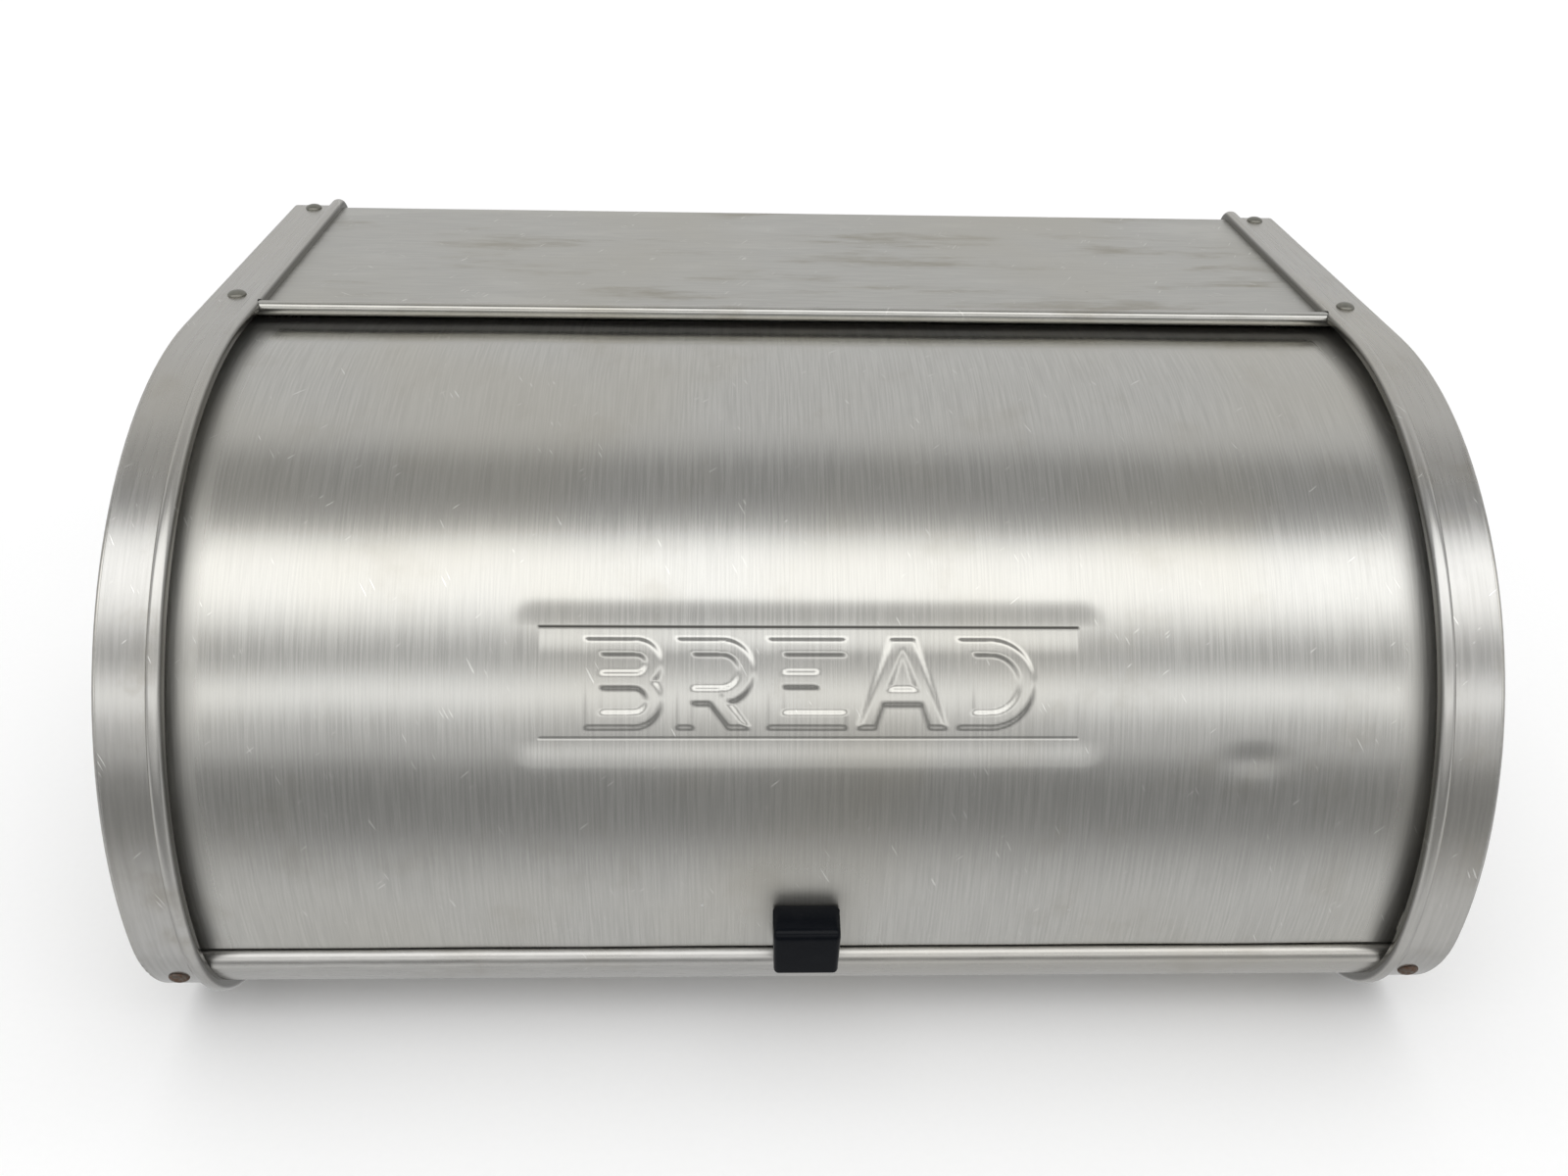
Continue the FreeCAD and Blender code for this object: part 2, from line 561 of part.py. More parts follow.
def foot(label, along, back):
    """A rubber foot whose stem snaps through the base."""
    length = "(sizes.foot_height + places.sheet_inset)"
    pad = doc.addObject("Part::Cone", f"{label}_pad")
    bind(pad, Radius1="sizes.foot_radius - sizes.foot_taper", Radius2="sizes.foot_radius", Height=length,
         Placement__Base__z=f"-{length}")
    stem = cylinder(f"{label}_stem", "sizes.stem_radius",
                    "sizes.panel_gauge + sizes.stem_fit + sizes.stem_bulb / 2")
    bulb = dome(f"{label}_bulb", "sizes.stem_bulb", "sizes.stem_bulb", "sizes.panel_gauge + sizes.stem_fit")
    place = (along, back, "places.base_level", "0")
    hole = drill(f"{label}_hole", place, "sizes.stem_radius + sizes.stem_fit", "sizes.stem_radius",
                 "sizes.stem_radius")
    return finish(grouped(label, [put(joined(f"{label}_solid", [pad, stem, bulb]), *place)]), label), hole


# Door


def arc_turn(length, radius):
    """The turn angle that a length takes up at a radius."""
    return f"({length}) / ({radius}) * 180 / pi"


def tab_ends(turn, spare):
    """Start and end of a wing's tab about its middle, with something to spare at each end."""
    half = arc_turn(f"sizes.tab_length / 2 + {spare}", "places.door_radius")
    return f"{turn} - {half}", f"{turn} + {half}"


def door_sheet(drills):
    """The curved door: hemmed edges, a raised panel, and slots for the wings' tabs."""
    body = doc.addObject("PartDesign::Body", "door_shell")
    inside = "places.door_radius - sizes.door_gauge"
    slab(body, "Pad", band_outline(body, "door_face", "0", inside, "places.door_radius",
                                   "sizes.door_top_turn", "sizes.door_low_turn"), "2 * places.door_half")
    hem_inside = "places.door_radius - sizes.hem_depth"
    hem_turn = arc_turn("sizes.door_gauge", "places.door_radius")
    hem_width = "2 * (places.wing_place - sizes.wing_gauge)"
    slab(body, "Pad", band_outline(body, "door_top_hem", "0", hem_inside, "places.door_radius",
                                   "sizes.door_top_turn", f"sizes.door_top_turn + {hem_turn}"), hem_width)
    slab(body, "Pad", band_outline(body, "door_low_hem", "0", hem_inside, "places.door_radius",
                                   f"sizes.door_low_turn - {hem_turn}", "sizes.door_low_turn"), hem_width)
    slab(body, "Pad", band_outline(body, "door_panel", "0", inside, "places.door_radius + sizes.panel_rise",
                                   "sizes.panel_top_turn", "sizes.panel_low_turn"), "sizes.panel_width")
    slab(body, "Pocket", band_outline(body, "door_panel_back", "0", f"{inside} - sizes.door_gauge",
                                      f"{inside} + sizes.panel_rise", f"sizes.panel_top_turn + {hem_turn}",
                                      f"sizes.panel_low_turn - {hem_turn}"),
         "sizes.panel_width - 2 * sizes.door_gauge")
    for side_name, side in SIDES:
        for number, turn in enumerate(DOOR_TAB_TURNS):
            slot = band_outline(body, f"door_{side_name}_slot_{number}", f"{side} * places.wing_place",
                                f"{inside} - sizes.door_gauge", "places.door_radius + sizes.door_gauge",
                                *tab_ends(turn, "sizes.slot_gap"))
            slab(body, "Pocket", slot, "sizes.wing_gauge + 2 * sizes.slot_gap")
    return finish(cut_away("door_sheet", body, grouped("door_tools", drills)), "door_sheet")


def door_wing(side_name, side):
    """A quarter disc that carries one side of the door, with tabs bent over the door's face."""
    label = f"{side_name}_door_wing"
    body = doc.addObject("PartDesign::Body", label)
    middle = f"{side} * places.wing_place"
    hem_turn = arc_turn("2 * sizes.door_gauge", "places.door_radius")
    slab(body, "Pad", band_outline(body, f"{label}_web", middle, "sizes.wing_hub / 2", "places.wing_radius",
                                   f"sizes.door_top_turn + {hem_turn}", f"sizes.door_low_turn - {hem_turn}"),
         "sizes.wing_gauge")
    slab(body, "Pad", disc_outline(body, f"{label}_boss", middle, "sizes.wing_hub"), "sizes.wing_gauge")
    leaf_middle = f"{middle} + {side} * sizes.tab_leaf / 2"
    leaf_base = "places.door_radius + sizes.wing_gap"
    for number, turn in enumerate(DOOR_TAB_TURNS):
        ends = tab_ends(turn, "0")
        slab(body, "Pad", band_outline(body, f"{label}_tab_{number}", middle,
                                       "places.wing_radius - sizes.wing_gauge",
                                       f"{leaf_base} + sizes.wing_gauge", *ends), "sizes.wing_gauge")
        slab(body, "Pad", band_outline(body, f"{label}_leaf_{number}", leaf_middle, leaf_base,
                                       f"{leaf_base} + sizes.wing_gauge", *ends), "sizes.tab_leaf")
    slab(body, "Pocket", disc_outline(body, f"{label}_hole", middle, "sizes.pivot_radius + sizes.pivot_fit"),
         "2 * sizes.wing_gauge")
    return finish(body, label)


def handle_outline(body):
    """Side view of the handle: rear on the door, sloping top, tall nose and a scooped underside."""
    sketch = cross_sketch(body, "handle_outline", "0")
    radius = value("places.door_radius")
    top = turn_point(radius, value("sizes.handle_top_turn"))
    low = turn_point(radius, value("sizes.handle_low_turn"))
    nose = -value("places.nose_radius")
    brow = Vector(nose, top.y - value("sizes.handle_slope"), 0)
    chin = Vector(nose, low.y - value("sizes.nose_drop"), 0)
    scoop = Vector(low.x - value("sizes.scoop_reach"), low.y + value("sizes.scoop_rise"), 0)
    pieces = [
        Part.LineSegment(top, brow),
        Part.LineSegment(brow, chin),
        Part.LineSegment(chin, scoop),
        Part.LineSegment(scoop, low),
        arc_about(Vector(), radius, 90 + value("sizes.handle_top_turn"), 90 + value("sizes.handle_low_turn")),
    ]
    slope, front, under, inner, rear = sketch.addGeometry(pieces, False)
    for this, following in ((slope, front), (front, under), (under, inner)):
        rule(sketch, "Coincident", this, 2, following, 1)
    rule(sketch, "Coincident", inner, 2, rear, 2)
    rule(sketch, "Coincident", rear, 1, slope, 1)
    rule(sketch, "Coincident", rear, 3, -1, 1)
    rule(sketch, "Vertical", front)
    measure(sketch, "Radius", rear, formula="places.door_radius", shown=radius)
    measure(sketch, "DistanceY", -1, 1, slope, 1, shown=top.y,
            formula="places.door_radius * cos(sizes.handle_top_turn * 1 deg)")
    measure(sketch, "DistanceY", -1, 1, rear, 2, shown=low.y,
            formula="places.door_radius * cos(sizes.handle_low_turn * 1 deg)")
    measure(sketch, "DistanceX", front, 1, -1, 1, formula="places.nose_radius", shown=-nose)
    measure(sketch, "DistanceY", slope, 2, slope, 1, formula="sizes.handle_slope", shown=top.y - brow.y)
    measure(sketch, "DistanceY", front, 2, rear, 2, formula="sizes.nose_drop", shown=low.y - chin.y)
    measure(sketch, "DistanceX", under, 2, inner, 2, formula="sizes.scoop_reach", shown=low.x - scoop.x)
    measure(sketch, "DistanceY", inner, 2, inner, 1, formula="sizes.scoop_rise", shown=scoop.y - low.y)
    return sketch


def door_handle(drills):
    """A solid moulded pull at the middle of the door's lower edge."""
    body = doc.addObject("PartDesign::Body", "handle_block")
    slab(body, "Pad", handle_outline(body), "sizes.handle_width")
    rear = value("places.door_radius")

    def proud(point):
        return math.hypot(point.y, point.z) > rear + TINY

    edges = [f"Edge{number}" for number, edge in enumerate(body.Shape.Edges, start=1)
             if any(proud(point) for point in edge.discretize(5))]
    scoop_up = value("places.door_radius * cos(sizes.handle_low_turn * 1 deg) + sizes.scoop_rise")
    scoop = [f"Edge{number}" for number, edge in enumerate(body.Shape.Edges, start=1)
             if all(abs(point.z - scoop_up) < TINY for point in edge.discretize(5))]
    round_edges(body, "handle_rounding", [edge for edge in edges if edge not in scoop], "sizes.handle_round")
    return finish(cut_away("door_handle", body, grouped("handle_tools", drills)), "door_handle")


def screw_place():
    """Where the handle screw passes the door's inner face."""
    inside = "(places.door_radius - sizes.door_gauge)"
    turn = "sizes.screw_turn"
    return "0", f"-{inside} * sin({turn} * 1 deg)", f"{inside} * cos({turn} * 1 deg)", turn


def handle_screw():
    """A pan-head screw from inside the door into the handle."""
    under_head = "(sizes.washer_gauge + sizes.washer_seat)"
    head = dome("handle_screw_pan", "sizes.screw_head_radius", "sizes.screw_head_rise", f"-{under_head}")
    head.Angle1 = -90
    head.Angle2 = 0
    thread = cylinder("handle_screw_thread", "sizes.screw_radius",
                      f"{under_head} + sizes.door_gauge + sizes.screw_length", f"-{under_head}")
    screw = put(joined("handle_screw_solid", [head, thread]), *screw_place())
    return finish(grouped("handle_screw", [screw]), "handle_screw")


def ring(name, radius, bore, start, end):
    """A washer or bush between two heights on its own Z axis."""
    outer = cylinder(f"{name}_outer", radius, f"({end}) - ({start})", start)
    inner = cylinder(f"{name}_bore", bore, f"({end}) - ({start})", start)
    return cut_away(f"{name}_ring", outer, inner)


def handle_washer():
    """A flat washer between the screw's head and the door."""
    washer = ring("handle_washer", "sizes.washer_radius", "sizes.screw_radius + sizes.screw_fit",
                  "-sizes.washer_gauge - sizes.washer_seat", "-sizes.washer_seat")
    return finish(grouped("handle_washer", [put(washer, *screw_place())]), "handle_washer")


# Hinge


def hinge_parts(side_name, side):
    """One side's hinge: rivet through the end wall, spacer bush, and retaining washer inside the wing."""
    wing_out = "(sizes.wing_inset - sizes.wing_gauge / 2 - sizes.end_play)"
    wing_in = "(sizes.wing_inset + sizes.wing_gauge / 2 + sizes.end_play)"
    reach = f"({wing_in} + sizes.retainer_gauge)"
    bore = "sizes.pivot_radius + sizes.pivot_fit"
    rivet_name = f"{side_name}_pivot_rivet"
    head = dome(f"{rivet_name}_head", "sizes.pivot_head_radius", "sizes.pivot_head_rise")
    shank = cylinder(f"{rivet_name}_shank", "sizes.pivot_radius", reach, f"-{reach}")
    tail = dome(f"{rivet_name}_tail", "sizes.pivot_tail_radius", "sizes.pivot_tail_rise", f"-{reach}")
    tail.Angle1 = -90
    tail.Angle2 = 0
    bush_name = f"{side_name}_pivot_bush"
    bush = ring(bush_name, "sizes.bush_radius", bore, f"-{wing_out}", "-sizes.cap_gauge")
    washer_name = f"{side_name}_pivot_washer"
    washer = ring(washer_name, "sizes.bush_radius", bore, f"-{reach}", f"-{wing_in}")
    rivet = joined(f"{rivet_name}_solid", [head, shank, tail])
    solids = {rivet_name: rivet, bush_name: bush, washer_name: washer}
    nodes = []
    for label, solid in solids.items():
        solid.Placement = Placement(Vector(), Rotation(Y_AXIS, side * 90))
        bind(solid, Placement__Base__x=f"{side} * places.half_width")
        nodes.append(finish(grouped(label, [solid]), label))
    return nodes


# Assembly


def finish(part, label):
    """Name a sub-part and stand it in the box's own frame."""
    part.Label = label
    bind(part, Placement__Base__y="places.axis_back", Placement__Base__z="places.axis_up")
    return part


def build():
    """Every sub-part of the bread box."""
    nodes = []
    deck_drills = []
    base_drills = []
    for side_name, side in SIDES:
        cap_drills = []
        for lap, row in rivet_rows(side).items():
            stack = BASE_STACK if lap == "base" else CAP_STACK
            rivets, drills = rivet_set(f"{side_name}_{lap}_rivets", row, stack)
            nodes.append(rivets)
            cap_drills += drills
            if lap == "base":
                base_drills += drills
            else:
                deck_drills += drills
        nodes.append(end_cap(side_name, side, cap_drills))
        nodes.append(door_wing(side_name, side))
        nodes += hinge_parts(side_name, side)
    seam_rivets, seam_drills = rivet_set("seam_rivets", seam_row(), SEAM_STACK)
    nodes.append(seam_rivets)
    for side_name, side in SIDES:
        along = f"{side} * (places.half_width - sizes.foot_side_inset)"
        for end_name, back in (("front", "-sizes.foot_front"), ("rear", "sizes.foot_rear")):
            pad, hole = foot(f"{end_name}_{side_name}_foot", along, back)
            nodes.append(pad)
            base_drills.append(hole)
    nodes.append(top_back_panel(deck_drills + seam_drills))
    nodes.append(base_panel(base_drills + seam_drills))
    screw_drill = drill("handle_screw_hole", screw_place(), "sizes.screw_radius + sizes.screw_fit",
                        "sizes.door_gauge", "sizes.door_gauge + sizes.screw_length + sizes.screw_radius")
    nodes += [door_sheet([screw_drill]), door_handle([screw_drill]), handle_screw(), handle_washer()]
    return nodes


def check(nodes):
    """Stop on a failed object, an empty or invalid shape, or a label used twice."""
    doc.recompute()
    for item in doc.Objects:
        if {"Invalid", "Error"} & set(item.State):
            raise RuntimeError(f"{item.Name} failed: {item.State}")
    for node in nodes:
        if node.Shape.isNull() or not node.Shape.isValid() or not node.Shape.Solids:
            raise RuntimeError(f"{node.Label} has no valid solid")
    if len({node.Label for node in nodes}) != len(nodes):
        raise RuntimeError("two sub-parts share a label")


nodes = build()
check(nodes)
os.makedirs("parts", exist_ok=True)
for node in nodes:
    node.Shape.exportStep(f"parts/{node.Label}.step")
    print(f"{node.Label}: {len(node.Shape.Solids)} solid(s), {node.Shape.Volume / 1000:.2f} cm3")
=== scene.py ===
import json
import math

import bmesh
import bpy
import numpy as np
from mathutils import Matrix, Vector


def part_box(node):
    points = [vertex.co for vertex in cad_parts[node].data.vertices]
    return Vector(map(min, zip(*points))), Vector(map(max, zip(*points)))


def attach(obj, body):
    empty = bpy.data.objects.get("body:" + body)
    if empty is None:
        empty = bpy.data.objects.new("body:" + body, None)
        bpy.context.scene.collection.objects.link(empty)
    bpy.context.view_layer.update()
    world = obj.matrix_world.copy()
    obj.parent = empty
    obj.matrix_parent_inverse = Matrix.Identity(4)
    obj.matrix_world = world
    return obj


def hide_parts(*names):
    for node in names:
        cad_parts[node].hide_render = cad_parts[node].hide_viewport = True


# Roll-top bread box: materials, the pressed door, the moulded handle, the studio and the camera.
# Metres, in the CAD's frame: X along the box, -Y towards the user, +Z up.

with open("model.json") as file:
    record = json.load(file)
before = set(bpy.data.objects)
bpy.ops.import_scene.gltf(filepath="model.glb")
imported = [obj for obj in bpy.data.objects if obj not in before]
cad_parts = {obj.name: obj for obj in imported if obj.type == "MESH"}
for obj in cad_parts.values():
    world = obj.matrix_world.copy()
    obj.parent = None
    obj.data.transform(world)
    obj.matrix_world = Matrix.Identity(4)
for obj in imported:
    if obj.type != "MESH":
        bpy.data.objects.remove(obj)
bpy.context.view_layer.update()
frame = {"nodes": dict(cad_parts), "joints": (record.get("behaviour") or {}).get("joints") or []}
cad_nodes = frame["nodes"]

MM = 0.001
AXIS = Vector(frame["joints"][0]["pos_m"])


# Node helpers


def start_material(name):
    """A new material with its tree and its Principled shader."""
    material = bpy.data.materials.new(name)
    material.use_nodes = True
    tree = material.node_tree
    return material, tree, tree.nodes["Principled BSDF"]


def feed(tree, socket, value):
    """Links an output to a socket, or sets the socket to a number, a vector or a colour."""
    if isinstance(value, bpy.types.NodeSocket):
        tree.links.new(value, socket)
    else:
        socket.default_value = value


def calculate(tree, operation, *values):
    """A Math node, such as MULTIPLY or ADD, on numbers or outputs."""
    node = tree.nodes.new("ShaderNodeMath")
    node.operation = operation
    for socket, value in zip(node.inputs, values):
        feed(tree, socket, value)
    return node.outputs[0]


def vector_math(tree, operation, first, second):
    node = tree.nodes.new("ShaderNodeVectorMath")
    node.operation = operation
    feed(tree, node.inputs[0], first)
    feed(tree, node.inputs[1], second)
    return node.outputs[0]


def split(tree, vector):
    node = tree.nodes.new("ShaderNodeSeparateXYZ")
    feed(tree, node.inputs[0], vector)
    return node.outputs


def combine(tree, x, y, z):
    node = tree.nodes.new("ShaderNodeCombineXYZ")
    for socket, value in zip(node.inputs, (x, y, z)):
        feed(tree, socket, value)
    return node.outputs[0]


def ramp_between(tree, value, low, high, start=0.0, end=1.0):
    """A clamped smooth step from start, at low, to end, at high."""
    node = tree.nodes.new("ShaderNodeMapRange")
    node.interpolation_type = "SMOOTHSTEP"
    for socket, number in zip(node.inputs, (value, low, high, start, end)):
        feed(tree, socket, number)
    return node.outputs[0]


def noise(tree, vector, per_metre, detail=3.0, roughness=0.5):
    """Noise, with a different number of cells per metre along each axis."""
    node = tree.nodes.new("ShaderNodeTexNoise")
    node.inputs["Scale"].default_value = 1.0
    node.inputs["Detail"].default_value = detail
    node.inputs["Roughness"].default_value = roughness
    feed(tree, node.inputs["Vector"], vector_math(tree, "MULTIPLY", vector, per_metre))
    return node.outputs["Fac"]


def dots(tree, vector, per_metre, radius, share):
    """Small round spots in a share of the cells of a Voronoi pattern."""
    node = tree.nodes.new("ShaderNodeTexVoronoi")
    node.inputs["Scale"].default_value = per_metre
    feed(tree, node.inputs["Vector"], vector)
    chosen = calculate(tree, "LESS_THAN", split(tree, node.outputs["Color"])[0], share)
    spot = ramp_between(tree, node.outputs["Distance"], radius * 0.5, radius, 1.0, 0.0)
    return calculate(tree, "MULTIPLY", chosen, spot)


def scaled(colour, *factors):
    """A colour with its channels multiplied by one factor or by three, at most 1, and an alpha of 1."""
    factors = factors * 3 if len(factors) == 1 else factors
    return (*[min(channel * factor, 1.0) for channel, factor in zip(colour, factors)], 1.0)


def attribute_of(tree, name):
    """A number that the mesh carries at each point; it is 0 on a mesh without it."""
    node = tree.nodes.new("ShaderNodeAttribute")
    node.attribute_name = name
    return node.outputs["Fac"]


def blend_colour(tree, amount, first, second):
    node = tree.nodes.new("ShaderNodeMix")
    node.data_type = "RGBA"
    feed(tree, node.inputs[0], amount)
    feed(tree, node.inputs[6], first)
    feed(tree, node.inputs[7], second)
    return node.outputs[2]


def bump(tree, height, distance, below=None):
    """A bump of a height pattern, with its full height in metres, on top of another bump."""
    node = tree.nodes.new("ShaderNodeBump")
    node.inputs["Strength"].default_value = 1.0
    node.inputs["Distance"].default_value = distance
    feed(tree, node.inputs["Height"], height)
    if below is not None:
        feed(tree, node.inputs["Normal"], below)
    return node.outputs[0]


def own_place(tree):
    """Where a point is on the object itself, so that a pattern moves with its piece."""
    return tree.nodes.new("ShaderNodeTexCoord").outputs["Object"]


def unrolled(tree):
    """The place on the curve about the hinge axis: along, and arc length at the door's radius."""
    x, y, z = split(tree, vector_math(tree, "SUBTRACT", own_place(tree), tuple(AXIS)))
    turn = calculate(tree, "ARCTAN2", calculate(tree, "MULTIPLY", y, -1.0), z)
    arc = calculate(tree, "MULTIPLY", turn, DOOR_RADIUS)
    return combine(tree, x, arc, 0.0)


def cap_place(tree):
    """Unrolled on an end cap's flange, and flat on its end wall, where the grain runs front to back."""
    x, y, z = split(tree, own_place(tree))
    wall_starts = CAP_OUTER - 1.6 * MM
    wall = ramp_between(tree, calculate(tree, "ABSOLUTE", x), wall_starts, wall_starts + 0.2 * MM)
    node = tree.nodes.new("ShaderNodeMix")
    node.data_type = "VECTOR"
    feed(tree, node.inputs[0], wall)
    feed(tree, node.inputs[4], unrolled(tree))
    feed(tree, node.inputs[5], combine(tree, z, y, 0.0))
    return node.outputs[1]


def scratches(tree, vector, angle, per_metre, share):
    """Sparse fine straight scratches at an angle in the first two axes."""
    node = tree.nodes.new("ShaderNodeMapping")
    node.inputs["Rotation"].default_value = (0.0, 0.0, math.radians(angle))
    feed(tree, node.inputs["Vector"], vector)
    across, length = per_metre
    line = noise(tree, node.outputs[0], (across, length, 1.0), detail=0.0)
    patch = noise(tree, node.outputs[0], (length * 0.9, length * 0.9, 1.0), detail=0.0)
    cut = ramp_between(tree, line, 1.0 - share, 1.0 - share + 0.05)
    return calculate(tree, "MULTIPLY", cut, ramp_between(tree, patch, 0.62, 0.68))


# Sizes read from the frame

door_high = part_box("door_sheet")[1]
DOOR_RADIUS = door_high.z - AXIS.z
DOOR_HALF = door_high.x
CAP_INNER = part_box("right_end_cap")[0].x
CAP_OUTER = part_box("right_end_cap")[1].x


# Materials


# Colour of painted shade: the dark of the cap bead's inner side and of the door panel's upper crease.
PAINTED_SHADE_COLOUR = (0.05, 0.048, 0.042, 1.0)
PALE_SPECK = (0.88, 0.88, 0.86, 1.0)
DARK_SPOT = (0.09, 0.07, 0.05, 1.0)
SCUFFED_DULLNESS = 0.34
SCRATCH_DEPTH = 0.00002
CAP_TOP_TURNS = (29, 35)


def steel(name, colour, dull, place, grain, grain_depth, stains, wear, waves, anisotropy=0.0, rim=None,
          rubbed=None, patch=(34.0, 34.0, 34.0)):
    """Bare sheet steel.

    grain and patch are cells per metre: of the brushing, across and along it, and of the stains.
    wear is how many scratches and specks show. waves is how high the sheet's slow waves are, in metres.
    rim is where an end cap's bead starts; its inner side is darkened with painted shade. rubbed is the
    front of a polished bead.
    """
    material, tree, shader = start_material(name)
    where = place(tree)
    streaks = noise(tree, where, grain, detail=2.0, roughness=0.6)
    long_streaks = noise(tree, where, (grain[0] * 0.16, grain[1] * 0.25, grain[2] * 0.16), detail=2.0)
    blotches = noise(tree, where, patch, detail=5.0, roughness=0.62)
    clouds = noise(tree, where, (9.0, 9.0, 9.0), detail=2.0)
    stained = calculate(tree, "MULTIPLY", ramp_between(tree, blotches, 0.52, 0.74), stains)
    streaked = ramp_between(tree, streaks, 0.3, 0.7)
    shade = blend_colour(tree, streaked, scaled(colour, 0.93), scaled(colour, 1.07))
    shade = blend_colour(tree, stained, shade, scaled(colour, 0.70, 0.66, 0.58))
    pale = calculate(tree, "MULTIPLY", ramp_between(tree, blotches, 0.30, 0.46, 1.0, 0.0), stains)
    shade = blend_colour(tree, pale, shade, scaled(colour, 1.12))
    warm = calculate(tree, "MULTIPLY", ramp_between(tree, clouds, 0.40, 0.66), 0.5)
    shade = blend_colour(tree, warm, shade, scaled(colour, 0.99, 0.96, 0.89))
    marks = calculate(tree, "MAXIMUM", scratches(tree, where, 28.0, (1600.0, 110.0), 0.25),
                      scratches(tree, where, -52.0, (1900.0, 130.0), 0.23))
    marks = calculate(tree, "MULTIPLY", marks, wear)
    shade = blend_colour(tree, marks, shade, scaled(colour, 1.7))
    specks = calculate(tree, "MULTIPLY", dots(tree, where, 60.0, 0.042, 0.09), wear * 1.6)
    shade = blend_colour(tree, specks, shade, PALE_SPECK)
    spots = calculate(tree, "MULTIPLY", dots(tree, where, 37.0, 0.035, 0.05), wear)
    shade = blend_colour(tree, spots, shade, DARK_SPOT)
    if rim is None:
        # Painted shade in the crease along the door panel's upper edge, carried by the crease attribute.
        painted_shade = attribute_of(tree, "crease")
        matt = calculate(tree, "MULTIPLY", attribute_of(tree, "scuffed"), SCUFFED_DULLNESS)
    else:
        along, arc, _ = split(tree, unrolled(tree))
        off_middle = calculate(tree, "ABSOLUTE", along)
        # Painted shade along the inner side of the cap's bead, next to the door.
        painted_shade = ramp_between(tree, off_middle, rim + 0.1 * MM, rim + 0.8 * MM, 0.70, 0.0)
        matt = 0.0
        top_ends, front_starts = (math.radians(turn) * DOOR_RADIUS for turn in CAP_TOP_TURNS)
        top = ramp_between(tree, arc, top_ends, front_starts, 1.0, 0.0)
        stained = calculate(tree, "MAXIMUM", stained, calculate(tree, "MULTIPLY", top, 0.8))
        shade = blend_colour(tree, calculate(tree, "MULTIPLY", top, 0.35), shade,
                             scaled(colour, 0.93, 0.90, 0.84))
    # Painted shade: the bead's inner side and the panel's crease are darkened in the colour itself.
    shade = blend_colour(tree, painted_shade, shade, PAINTED_SHADE_COLOUR)
    feed(tree, shader.inputs["Base Color"], shade)
    shader.inputs["Metallic"].default_value = 0.96
    shader.inputs["Anisotropic"].default_value = anisotropy
    shader.inputs["Anisotropic Rotation"].default_value = 0.25
    rough = ramp_between(tree, streaks, 0.25, 0.75, dull * 0.86, dull * 1.16)
    rough = calculate(tree, "ADD", rough, calculate(tree, "MULTIPLY", stained, 0.12))
    rough = calculate(tree, "ADD", rough, calculate(tree, "MULTIPLY", specks, 0.4))
    rough = calculate(tree, "ADD", rough, matt)
    if rubbed is not None:
        front = split(tree, where)[1]
        bright = ramp_between(tree, front, rubbed + 5.2 * MM, rubbed + 6.0 * MM, 1.0, 0.0)
        rough = calculate(tree, "MULTIPLY", rough, ramp_between(tree, bright, 0.0, 1.0, 1.0, 0.45))
    feed(tree, shader.inputs["Roughness"], rough)
    surface = bump(tree, clouds, waves)
    surface = bump(tree, long_streaks, grain_depth * 1.6, below=surface)
    surface = bump(tree, streaks, grain_depth, below=surface)
    surface = bump(tree, marks, SCRATCH_DEPTH, below=surface)
    feed(tree, shader.inputs["Normal"], surface)
    if anisotropy:
        tangent = tree.nodes.new("ShaderNodeTangent")
        tangent.direction_type = "RADIAL"
        tangent.axis = "X"
        tree.links.new(tangent.outputs[0], shader.inputs["Tangent"])
    return material


def moulded(name, colour, dull, grain_depth, dust, shine=0.5):
    """Moulded plastic, nylon or rubber with a fine grain and some dust."""
    material, tree, shader = start_material(name)
    where = own_place(tree)
    grain = noise(tree, where, (2400.0, 2400.0, 2400.0), detail=3.0)
    patches = noise(tree, where, (160.0, 160.0, 160.0), detail=3.0)
    settled = calculate(tree, "MULTIPLY", ramp_between(tree, patches, 0.50, 0.72), dust)
    lighter = (*[c * 0.7 + 0.06 for c in colour], 1.0)
    feed(tree, shader.inputs["Base Color"], blend_colour(tree, settled, (*colour, 1.0), lighter))
    feed(tree, shader.inputs["Roughness"], ramp_between(tree, patches, 0.35, 0.70, dull * 0.9, dull * 1.25))
    shader.inputs["Specular IOR Level"].default_value = shine
    soft = bump(tree, patches, 0.00015)
    feed(tree, shader.inputs["Normal"], bump(tree, grain, grain_depth, below=soft))
    return material


def rusty(name, colour):
    """Rivet steel that has gone brown, with some bare metal left."""
    material, tree, shader = start_material(name)
    where = own_place(tree)
    crust = noise(tree, where, (700.0, 700.0, 700.0), detail=5.0, roughness=0.65)
    rust = ramp_between(tree, crust, 0.38, 0.60)
    mottle = noise(tree, where, (1500.0, 1500.0, 1500.0))
    brown = blend_colour(tree, mottle, (0.050, 0.026, 0.016, 1.0), (0.145, 0.080, 0.050, 1.0))
    feed(tree, shader.inputs["Base Color"], blend_colour(tree, rust, (*colour, 1.0), brown))
    feed(tree, shader.inputs["Metallic"], calculate(tree, "SUBTRACT", 1.0, rust))
    feed(tree, shader.inputs["Roughness"], ramp_between(tree, rust, 0.0, 1.0, 0.34, 0.85))
    feed(tree, shader.inputs["Normal"], bump(tree, crust, 0.00012))
    return material


